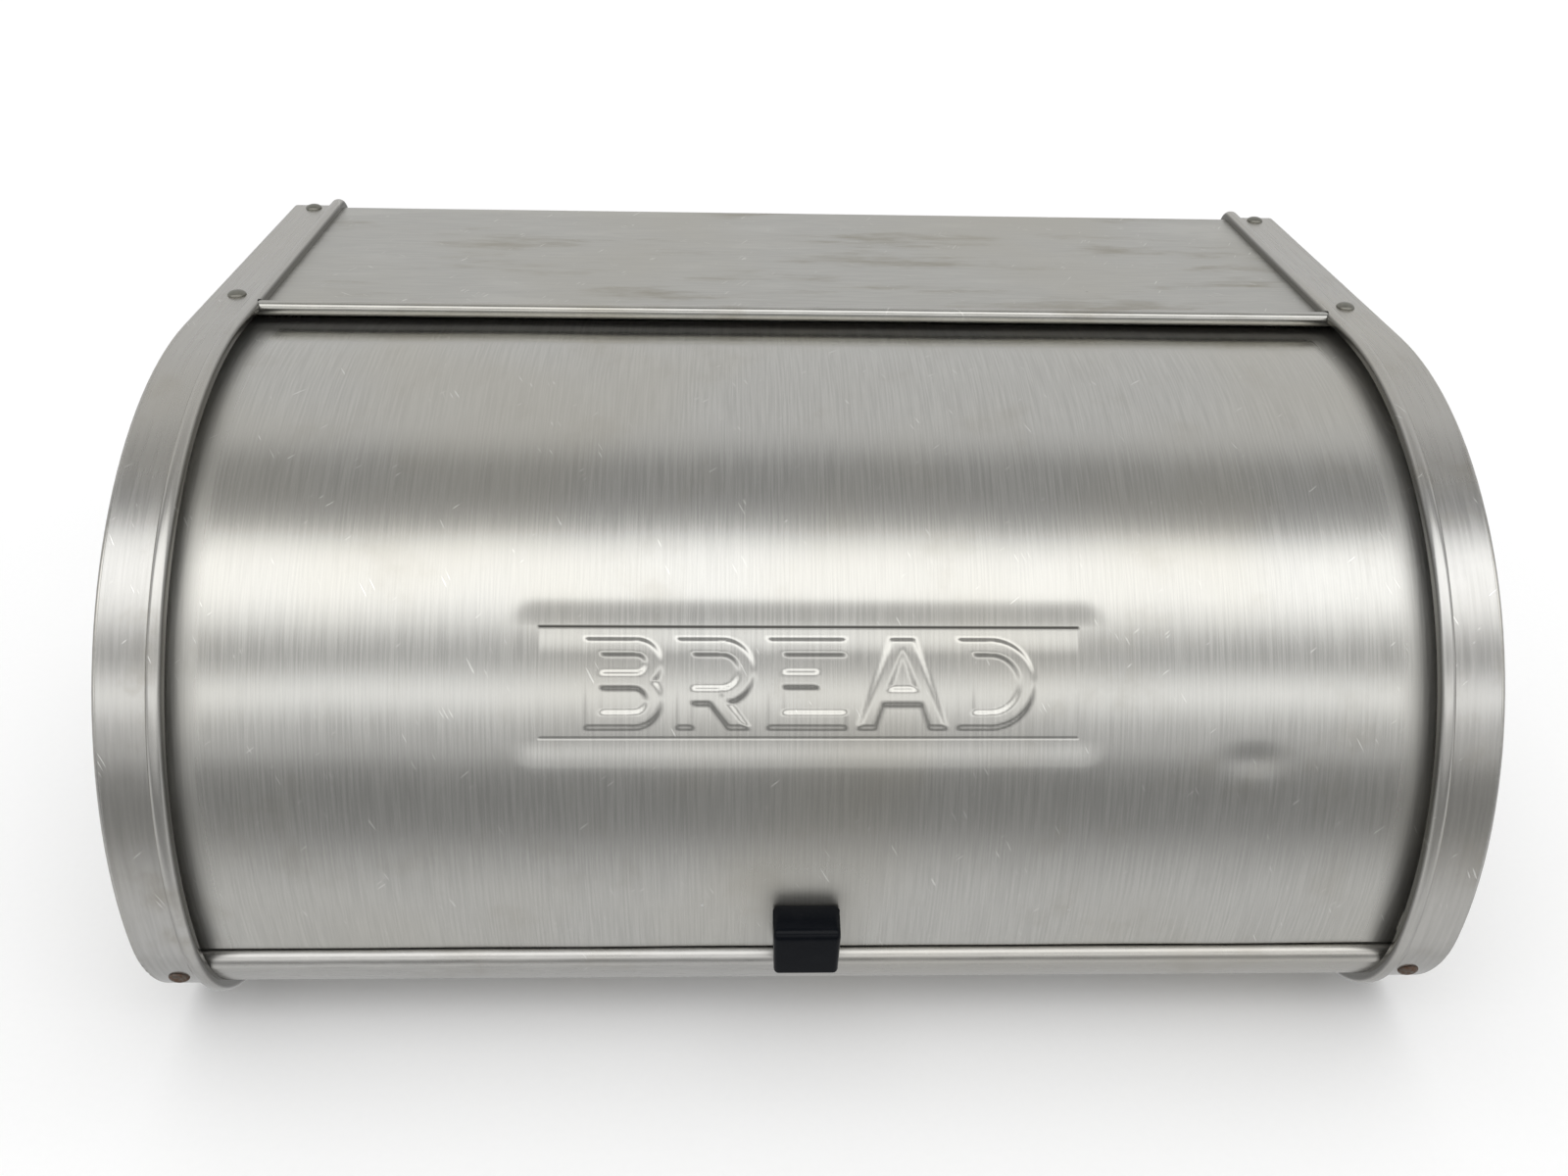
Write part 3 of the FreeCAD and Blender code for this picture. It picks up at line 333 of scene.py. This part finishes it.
BRUSHED = (1500.0, 38.0, 1500.0)
ROLLED = (60.0, 900.0, 900.0)
EVEN = (900.0, 900.0, 900.0)
DOOR_STEEL = steel("door_steel", (0.595, 0.590, 0.562), 0.195, unrolled, BRUSHED, 0.000016,
                   stains=0.25, wear=0.5, waves=0.00010, anisotropy=0.3)
CAP_STEEL = steel("cap_steel", (0.575, 0.570, 0.552), 0.185, cap_place, (700.0, 30.0, 700.0), 0.000003,
                  stains=0.55, wear=0.7, waves=0.00018, rim=CAP_INNER)
DECK_STEEL = steel("deck_steel", (0.555, 0.550, 0.520), 0.36, own_place, ROLLED, 0.000010,
                   stains=0.85, wear=0.5, waves=0.00008, rubbed=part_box("top_back_panel")[0].y,
                   patch=(15.0, 62.0, 34.0))
BASE_STEEL = steel("base_steel", (0.600, 0.592, 0.570), 0.30, own_place, ROLLED, 0.000006,
                   stains=0.35, wear=0.4, waves=0.00010)
WING_STEEL = steel("wing_steel", (0.58, 0.575, 0.55), 0.30, own_place, (900.0, 900.0, 60.0), 0.000006,
                   stains=0.4, wear=0.3, waves=0.00008)
RIVET_STEEL = steel("rivet_steel", (0.25, 0.245, 0.215), 0.34, own_place, EVEN, 0.000010,
                    stains=0.8, wear=0.2, waves=0.00002)
STAINED_RIVET = rusty("stained_rivet_steel", (0.17, 0.15, 0.13))
HANDLE_PLASTIC = moulded("handle_plastic", (0.0018, 0.0026, 0.0044), 0.17, 0.000006, dust=0.02, shine=0.13)
BUSH_NYLON = moulded("bush_nylon", (0.72, 0.70, 0.64), 0.42, 0.000006, dust=0.2)
FOOT_RUBBER = moulded("foot_rubber", (0.028, 0.028, 0.03), 0.62, 0.00002, dust=0.5)

MATERIALS = {
    "cap_steel": CAP_STEEL,
    "deck_steel": DECK_STEEL,
    "base_steel": BASE_STEEL,
    "door_steel": DOOR_STEEL,
    "wing_steel": WING_STEEL,
    "rivet_steel": RIVET_STEEL,
    "stained_rivet_steel": STAINED_RIVET,
    "handle_plastic": HANDLE_PLASTIC,
    "bush_nylon": BUSH_NYLON,
    "foot_rubber": FOOT_RUBBER,
}


def dress_cad():
    """Each carried-over CAD node gets the finished material of the slot that it came with."""
    for node in cad_nodes.values():
        mesh = node.data
        slot = mesh.materials[0].name.split(".")[0]
        mesh.materials.clear()
        mesh.materials.append(MATERIALS[slot])


# The door's pressed sheet, in millimetres: x along the box and s down the curve from straight up


TURN = math.pi / 180 * DOOR_RADIUS / MM  # arc length of one degree about the hinge axis
DOOR_TOP = -11.0 * TURN
LIP_END = -6.0 * TURN
DOOR_LOW = 97.0 * TURN
HALF = DOOR_HALF / MM
SHEET = 0.7
PANEL_HALF = 81.8
PANEL_TOP = 49.9 * TURN
PANEL_LOW = 64.4 * TURN
PANEL_MIDDLE = (PANEL_TOP + PANEL_LOW) / 2
SLOT_TURNS = (22.0, 51.0, 93.0)
SLOT_HALF = 4.25
SLOT_INNER = HALF - 4.75
SLOT_OUTER = HALF - 3.25
EDGE_ROUND = 0.75
HEM_END = 4.0
HEM_DEPTH = 0.9
TROUGH_DEPTH = 0.62
TROUGH_WIDTH = 9.5
PANEL_SINK = 0.22
CROWN_RISE = 0.30
CROWN_TALL = 9.0
LETTER_RISE = 0.62
LETTER_EDGE = 0.7
STROKE = 2.3  # half a letter's stroke
CAP_LINE = 13.3  # half a letter's height
DENT_DEPTH = 0.42
DENT_PLACE = (136.0, 67.1 * TURN)
DENT_SIZE = (9.0, 5.0)
LIP_SLOPE = 0.05


def smooth(value, low, high):
    """A smooth step from 0, at low, to 1, at high."""
    t = np.clip((value - low) / (high - low), 0.0, 1.0)
    return t * t * (3 - 2 * t)


def bar(u, v, start, end):
    """Signed distance to a straight stroke with square ends, in millimetres."""
    (a, b), (c, d) = start, end
    length = math.hypot(c - a, d - b)
    along = ((u - a) * (c - a) + (v - b) * (d - b)) / length
    across = (u - a) * (d - b) / length - (v - b) * (c - a) / length
    return np.maximum(np.abs(along - length / 2) - length / 2, np.abs(across) - STROKE)


def bowl(u, v, centre, radius):
    """Signed distance to a half ring that opens to the left."""
    ring = np.abs(np.hypot(u - centre[0], v - centre[1]) - radius) - STROKE
    return np.maximum(ring, centre[0] - u)


def lettering(u, v):
    """Signed distance to the plain capitals of the word for what the box holds."""
    high = 11.0
    strokes = []
    b, r, e, a, d = -65.0, -37.6, -10.3, 27.8, 47.0
    for stem in (b, r, e, d):
        strokes.append(bar(u, v, (stem, -CAP_LINE), (stem, CAP_LINE)))
    for level, end in ((high, b + 13.0), (0.9, b + 13.0), (-high, b + 12.2)):
        strokes.append(bar(u, v, (b, level), (end, level)))
    strokes.append(bowl(u, v, (b + 12.9, 5.95), 5.05))
    strokes.append(bowl(u, v, (b + 12.1, -5.05), 5.95))
    for level in (high, -3.7):
        strokes.append(bar(u, v, (r, level), (r + 11.1, level)))
    strokes.append(bowl(u, v, (r + 11.0, 3.65), 7.35))
    strokes.append(bar(u, v, (r + 8.2, -3.2), (r + 17.6, -15.4)))
    for level, end in ((high, e + 20.8), (1.2, e + 12.6), (-high, e + 21.0)):
        strokes.append(bar(u, v, (e, level), (end, level)))
    strokes.append(bar(u, v, (a - 0.6, 15.0), (a - 11.2, -14.6)))
    strokes.append(bar(u, v, (a + 0.6, 15.0), (a + 11.2, -14.6)))
    strokes.append(bar(u, v, (a - 7.0, -4.0), (a + 7.0, -4.0)))
    for level in (high, -high):
        strokes.append(bar(u, v, (d, level), (d + 7.5, level)))
    strokes.append(bowl(u, v, (d + 7.4, 0.0), high))
    return np.maximum(np.min(strokes, axis=0), np.abs(v) - CAP_LINE)


def relief(x, s):
    """Height of the door's face above its plain curve: a trough, and in it the panel with its letters."""
    v = PANEL_MIDDLE - s
    half_tall = (PANEL_LOW - PANEL_TOP) / 2
    gap_x = np.abs(x) - PANEL_HALF
    gap_v = np.abs(v) - half_tall
    outside = np.hypot(np.maximum(gap_x, 0), np.maximum(gap_v, 0))
    edge = outside + np.minimum(np.maximum(gap_x, gap_v), 0)
    trough = -TROUGH_DEPTH * (1 - smooth(edge, 0.0, TROUGH_WIDTH))
    sunk = -PANEL_SINK * (1 - smooth(edge, -0.5, 0.0))
    crown = CROWN_RISE * (1 - smooth(v, half_tall - CROWN_TALL, half_tall)) * (1 - smooth(edge, -1.0, 0.0))
    letters = LETTER_RISE * (1 - smooth(lettering(x, v), -LETTER_EDGE, LETTER_EDGE))
    dent_x = (x - DENT_PLACE[0]) / DENT_SIZE[0]
    dent_s = (s - DENT_PLACE[1]) / DENT_SIZE[1]
    dent = -DENT_DEPTH * np.exp(-dent_x**2 - dent_s**2)
    waves = 0.10 * np.sin(x / 23.0 + s / 41.0) * np.sin(s / 29.0 - x / 57.0)
    waves += 0.05 * np.sin(x / 11.0 + 1.3) * np.sin(s / 17.0 + 0.4)
    lip = LIP_SLOPE * np.maximum(LIP_END - s, 0.0)
    return trough + sunk + crown + letters + dent + waves + lip


def steps(stops):
    """Grid lines: each stop is a place, and the pitch from it to the next."""
    lines = []
    for (start, pitch), (end, _) in zip(stops, stops[1:]):
        count = max(1, round((end - start) / pitch))
        lines += [start + (end - start) * i / count for i in range(count)]
    return np.array(lines + [stops[-1][0]])


def door_lines():
    """Columns and rows of the door's grid, closer at the panel, the lip, the slots and the hems."""
    right = [(0.0, 0.7), (PANEL_HALF - 1.2, 0.3), (PANEL_HALF + 0.6, 1.0), (PANEL_HALF + 9, 2.5),
             (HALF - 8.0, 1.6), (SLOT_INNER, 1.5), (SLOT_OUTER, 1.3), (HALF - 0.7, 0.24), (HALF, 1.0)]
    columns = steps(right)
    columns = np.concatenate([-columns[:0:-1], columns])
    marks = {DOOR_TOP: 0.24, DOOR_TOP + 0.8: 1.6, DOOR_TOP + 4.0: 0.3, DOOR_TOP + 4.3: 2.4,
             LIP_END - 0.3: 0.3, LIP_END + 0.3: 2.4,
             PANEL_TOP - 9.0: 1.0, PANEL_TOP - 0.6: 0.3, PANEL_TOP + 1.2: 0.65, PANEL_LOW - 1.2: 0.3,
             PANEL_LOW + 0.6: 1.0, PANEL_LOW + 9.0: 2.4, DOOR_LOW - 4.3: 0.3, DOOR_LOW - 4.0: 1.6,
             DOOR_LOW - 0.8: 0.24, DOOR_LOW: 1.0}
    for turn in SLOT_TURNS:
        for place in (turn * TURN - SLOT_HALF, turn * TURN + SLOT_HALF):
            pitch = [marks[m] for m in sorted(marks) if m <= place][-1]
            marks[place] = pitch
    return columns, steps(sorted(marks.items()))


def build_door():
    """The door sheet as one closed skin: pressed face, inner face, hems and tab slots."""
    columns, rows = door_lines()
    x, s = np.meshgrid(columns, rows)
    face = relief(x, s)
    to_end = np.minimum(s - DOOR_TOP, DOOR_LOW - s)
    to_side = HALF - np.abs(x)
    near = np.clip(EDGE_ROUND - to_end, 0.0, EDGE_ROUND)
    rounding = EDGE_ROUND - np.sqrt(EDGE_ROUND**2 - near**2)
    outer = face - rounding
    fold = HEM_DEPTH * (1 - smooth(to_end, HEM_END, HEM_END + 0.3)) * smooth(to_side, 4.0, 7.0)
    inner = face - SHEET - fold + rounding * 0.8
    angle = s / TURN * math.pi / 180
    points = []
    for height in (outer, inner):
        radius = DOOR_RADIUS + height * MM
        back = AXIS.y - radius * np.sin(angle)
        points.append(np.stack([x * MM, back, AXIS.z + radius * np.cos(angle)], -1))
    count = x.size
    height, width = x.shape
    index = np.arange(count).reshape(height, width)
    mid_x = np.abs((columns[1:] + columns[:-1]) / 2)
    mid_s = (rows[1:] + rows[:-1]) / 2
    in_column = (mid_x > SLOT_INNER) & (mid_x < SLOT_OUTER)
    in_row = np.zeros_like(mid_s, bool)
    for turn in SLOT_TURNS:
        in_row |= np.abs(mid_s - turn * TURN) < SLOT_HALF
    kept = ~(in_row[:, None] & in_column[None, :])
    faces = []
    padded = np.pad(kept, 1)
    for i in range(height - 1):
        for j in range(width - 1):
            if not kept[i, j]:
                continue
            corners = (index[i, j], index[i, j + 1], index[i + 1, j + 1], index[i + 1, j])
            a, b, c, d = (int(corner) for corner in corners)
            faces.append((a, d, c, b))
            faces.append((a + count, b + count, c + count, d + count))
            for open_side, p, q in ((not padded[i, j + 1], a, b), (not padded[i + 1, j + 2], b, c),
                                    (not padded[i + 2, j + 1], c, d), (not padded[i + 1, j], d, a)):
                if open_side:
                    faces.append((p, q, q + count, p + count))
    mesh = bpy.data.meshes.new("pressed_door")
    mesh.from_pydata(np.concatenate([p.reshape(-1, 3) for p in points]).tolist(), [], faces)
    mesh.validate()
    mesh.update()
    mesh.shade_smooth()
    # Painted shade for the panel's upper crease, on the front face only.
    crease_shade = painted_crease_shade(x, s).reshape(-1)
    worn = scuffing(x, s).reshape(-1)
    for name, on_face, on_back in (("crease", crease_shade, crease_shade * 0), ("scuffed", worn, worn)):
        attribute = mesh.attributes.new(name, "FLOAT", "POINT")
        attribute.data.foreach_set("value", np.concatenate([on_face, on_back]).astype(np.float32))
    door = bpy.data.objects.new("pressed_door", mesh)
    bpy.context.scene.collection.objects.link(door)
    mesh.materials.append(DOOR_STEEL)
    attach(door, "door")
    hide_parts("door_sheet")


def scuffing(x, s):
    """How dull the door's face has worn, from 0 to 1: on the lip, along the flanges, above the handle."""
    lip = 0.9 * (1 - smooth(s, LIP_END, LIP_END + 5.0))
    sides = 0.55 * smooth(np.abs(x), 179.0, 186.0)
    above_handle = 0.6 * (1 - smooth(np.abs(x), 10.0, 26.0)) * smooth(s, 79.0 * TURN, 87.5 * TURN)
    return np.maximum(np.maximum(lip, sides), above_handle)


def painted_crease_shade(x, s):
    """How much painted shade darkens the crease along the panel's upper edge, from 0 to 1."""
    across = 1 - smooth(np.abs(s - PANEL_TOP), 0.15, 0.55)
    return across * (1 - smooth(np.abs(x), PANEL_HALF - 0.5, PANEL_HALF))


# The handle


HANDLE_TURNS = (88.6, 96.2)
HANDLE_SLOPE = 2.2
SCOOP = (4.5, 4.0)
NOSE_ROUND = 3.4
END_ROUND = 1.7
WAIST = 0.035
CHIN_ROUND = 1.5
CHIN_TIP = 2.75  # what that rounding takes off the nose's sharp lower corner


def rounded_outline(corners):
    """A closed outline with its corners rounded: corners are (back, up, radius), in millimetres."""
    points = []
    count = len(corners)
    for i, (y, z, radius) in enumerate(corners):
        here = np.array([y, z])
        before = np.array(corners[i - 1][:2]) - here
        after = np.array(corners[(i + 1) % count][:2]) - here
        before /= np.hypot(*before)
        after /= np.hypot(*after)
        half = math.acos(float(np.clip(before @ after, -1, 1))) / 2
        middle = before + after
        middle /= np.hypot(*middle)
        centre = here + middle * radius / math.sin(half)
        start = here + before * radius / math.tan(half) - centre
        end = here + after * radius / math.tan(half) - centre
        for t in np.linspace(0.0, 1.0, 10):
            spoke = start * (1 - t) + end * t
            points.append(centre + spoke / np.hypot(*spoke) * radius)
    return np.array(points)


def build_handle():
    """The moulded handle: a sloping top, a full rounded brow, a tall nose and a finger scoop below."""
    low, high = (np.array(corner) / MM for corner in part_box("door_handle"))
    axis_y, axis_z = AXIS.y / MM, AXIS.z / MM
    radius = DOOR_RADIUS / MM - 0.05
    top_turn, low_turn = (math.radians(turn) for turn in HANDLE_TURNS)
    top = (axis_y - radius * math.sin(top_turn), axis_z + radius * math.cos(top_turn))
    rear = (axis_y - radius * math.sin(low_turn), axis_z + radius * math.cos(low_turn))
    outline = rounded_outline([
        (top[0], high[2] - 0.05, 0.9),
        (low[1], high[2] - HANDLE_SLOPE, NOSE_ROUND),
        (low[1] + 0.2, low[2] - CHIN_TIP, CHIN_ROUND),
        (rear[0] - SCOOP[0], rear[1] + SCOOP[1], 1.2),
        (rear[0], rear[1], 0.6),
    ])
    middle = outline.mean(0)
    edges = np.roll(outline, -1, 0) - np.roll(outline, 1, 0)
    normal = np.stack([edges[:, 1], -edges[:, 0]], 1) / np.hypot(*edges.T)[:, None]
    normal *= np.sign(((outline - middle) * normal).sum(1).mean())
    half = high[0]
    places = half - END_ROUND * (1 - np.sin(np.linspace(0, math.pi / 2, 7)))
    places = np.concatenate([-places[::-1], np.linspace(-places[0], places[0], 9)[1:-1], places])
    points = []
    for x in places:
        past = max(0.0, abs(x) - (half - END_ROUND)) / END_ROUND
        inset = END_ROUND * (1 - math.sqrt(max(0.0, 1 - past**2)))
        ring = outline - normal * inset
        waist = 1.0 - WAIST * smooth(np.abs(ring[:, 1] - (high[2] - 4.0)), 2.0, 9.0)
        points += [(x * w, y, z) for w, (y, z) in zip(waist, ring)]
    around = len(outline)
    faces = []
    for i in range(len(places) - 1):
        for j in range(around):
            a, b = i * around + j, i * around + (j + 1) % around
            faces.append((a, b, b + around, a + around))
    last = (len(places) - 1) * around
    for base, order in ((0, 1), (last, -1)):
        points.append((float(points[base][0]), *middle))
        hub = len(points) - 1
        for j in range(around):
            a, b = base + j, base + (j + 1) % around
            faces.append((hub, b, a)[::order])
    mesh = bpy.data.meshes.new("moulded_handle")
    mesh.from_pydata((np.array(points) * MM).tolist(), [], faces)
    tidy = bmesh.new()
    tidy.from_mesh(mesh)
    bmesh.ops.recalc_face_normals(tidy, faces=tidy.faces)
    tidy.to_mesh(mesh)
    tidy.free()
    mesh.shade_smooth()
    mesh.materials.append(HANDLE_PLASTIC)
    handle = bpy.data.objects.new("moulded_handle", mesh)
    bpy.context.scene.collection.objects.link(handle)
    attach(handle, "door")
    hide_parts("door_handle")


# Studio


# Degrees about the box's length (0 level in front, 90 overhead, 180 behind), and brightness.
LIGHT_BANDS = [
    (-180, 0.74), (-72, 0.76), (-58, 0.92), (-37, 0.94), (-30, 0.82), (-22, 0.64), (-15, 0.43),
    (-3, 0.36), (4, 0.44), (9, 0.84), (17, 0.92), (21, 1.35), (26, 2.00), (31, 1.36), (36, 0.66),
    (42, 0.95), (48, 1.75), (55, 2.30), (67, 2.30), (72, 1.82), (77, 0.80), (82, 0.56), (88, 0.46),
    (99, 0.50), (104, 0.74), (110, 0.92), (180, 0.95),
]
BRIGHTEST = 2.4
WORLD_STRENGTH = 1.70
END_GREY = 0.80
PAPER_WHITE = 0.97
FLOOR_HALF = 20.0
LAMP_POWER = 1.15
LAMP_SPREAD = 70
CAMERA_TURNS = (32.28, 2.4, 1.5)
CAMERA_PLACE = (-0.02245, -0.44037, 0.37313)
LENS = 31.14


def light_studio():
    """A room of soft light bands that run along the box, fading to an even grey at its two ends.

    The box is lit by it and reflects it, while the camera sees plain white paper in its place.
    """
    world = bpy.data.worlds.new("studio")
    bpy.context.scene.world = world
    world.use_nodes = True
    tree = world.node_tree
    direction = tree.nodes.new("ShaderNodeTexCoord").outputs["Generated"]
    x, y, z = split(tree, direction)
    angle = calculate(tree, "ARCTAN2", z, calculate(tree, "MULTIPLY", y, -1.0))
    share = calculate(tree, "MULTIPLY_ADD", angle, 0.5 / math.pi, 0.5)
    ramp = tree.nodes.new("ShaderNodeValToRGB")
    feed(tree, ramp.inputs[0], share)
    elements = ramp.color_ramp.elements
    while len(elements) > 1:
        elements.remove(elements[-1])
    for number, (degrees, level) in enumerate(LIGHT_BANDS):
        element = elements[0] if number == 0 else elements.new(1.0)
        element.position = (degrees + 180) / 360
        element.color = (*[level / BRIGHTEST] * 3, 1.0)
    ends = ramp_between(tree, calculate(tree, "ABSOLUTE", x), 0.72, 0.96)
    grey = END_GREY / BRIGHTEST
    light = blend_colour(tree, ends, ramp.outputs[0], (grey, grey, grey, 1.0))
    seen = tree.nodes.new("ShaderNodeLightPath").outputs["Is Camera Ray"]
    paper = PAPER_WHITE / WORLD_STRENGTH
    background = tree.nodes["Background"]
    feed(tree, background.inputs["Color"], blend_colour(tree, seen, light, (paper, paper, paper, 1.0)))
    background.inputs["Strength"].default_value = WORLD_STRENGTH
    bpy.context.scene.view_settings.view_transform = "Standard"


def lay_floor():
    """A plain pale floor under the feet, with a faint even grain; it is left out of reflections."""
    half = FLOOR_HALF
    corners = [(-half, -half, 0), (half, -half, 0), (half, half, 0), (-half, half, 0)]
    mesh = bpy.data.meshes.new("floor")
    mesh.from_pydata(corners, [], [(0, 1, 2, 3)])
    floor = bpy.data.objects.new("floor", mesh)
    bpy.context.scene.collection.objects.link(floor)
    material, tree, shader = start_material("floor_paper")
    fine = noise(tree, own_place(tree), (400.0, 400.0, 400.0))
    paper = blend_colour(tree, fine, (0.90, 0.90, 0.90, 1.0), (0.92, 0.92, 0.92, 1.0))
    feed(tree, shader.inputs["Base Color"], paper)
    shader.inputs["Roughness"].default_value = 0.9
    shader.inputs["Specular IOR Level"].default_value = 0.1
    mesh.materials.append(material)
    floor.visible_glossy = False


def hang_lamp():
    """A broad soft light from straight above, left out of reflections."""
    data = bpy.data.lights.new("overhead", "SUN")
    data.energy = LAMP_POWER
    data.angle = math.radians(LAMP_SPREAD)
    lamp = bpy.data.objects.new("overhead", data)
    bpy.context.scene.collection.objects.link(lamp)
    lamp.location = (0.0, 0.0, 2.0)
    lamp.visible_glossy = False


def place_camera():
    """The camera: a wide lens held above and in front of the box, looking down at it."""
    pitch, yaw, roll = (math.radians(turn) for turn in CAMERA_TURNS)
    ahead = Vector((math.sin(yaw) * math.cos(pitch), math.cos(yaw) * math.cos(pitch), -math.sin(pitch)))
    level = Vector((math.cos(yaw), -math.sin(yaw), 0.0))
    over = level.cross(ahead)
    right = level * math.cos(roll) + over * math.sin(roll)
    up = over * math.cos(roll) - level * math.sin(roll)
    data = bpy.data.cameras.new("camera")
    data.sensor_width = 36.0
    data.lens = LENS
    data.clip_start = 0.01
    camera = bpy.data.objects.new("camera", data)
    bpy.context.scene.collection.objects.link(camera)
    turned = Matrix((right, up, -ahead)).transposed()
    camera.matrix_world = Matrix.Translation(CAMERA_PLACE) @ turned.to_4x4()
    bpy.context.scene.camera = camera


dress_cad()
build_door()
build_handle()
light_studio()
lay_floor()
hang_lamp()
place_camera()
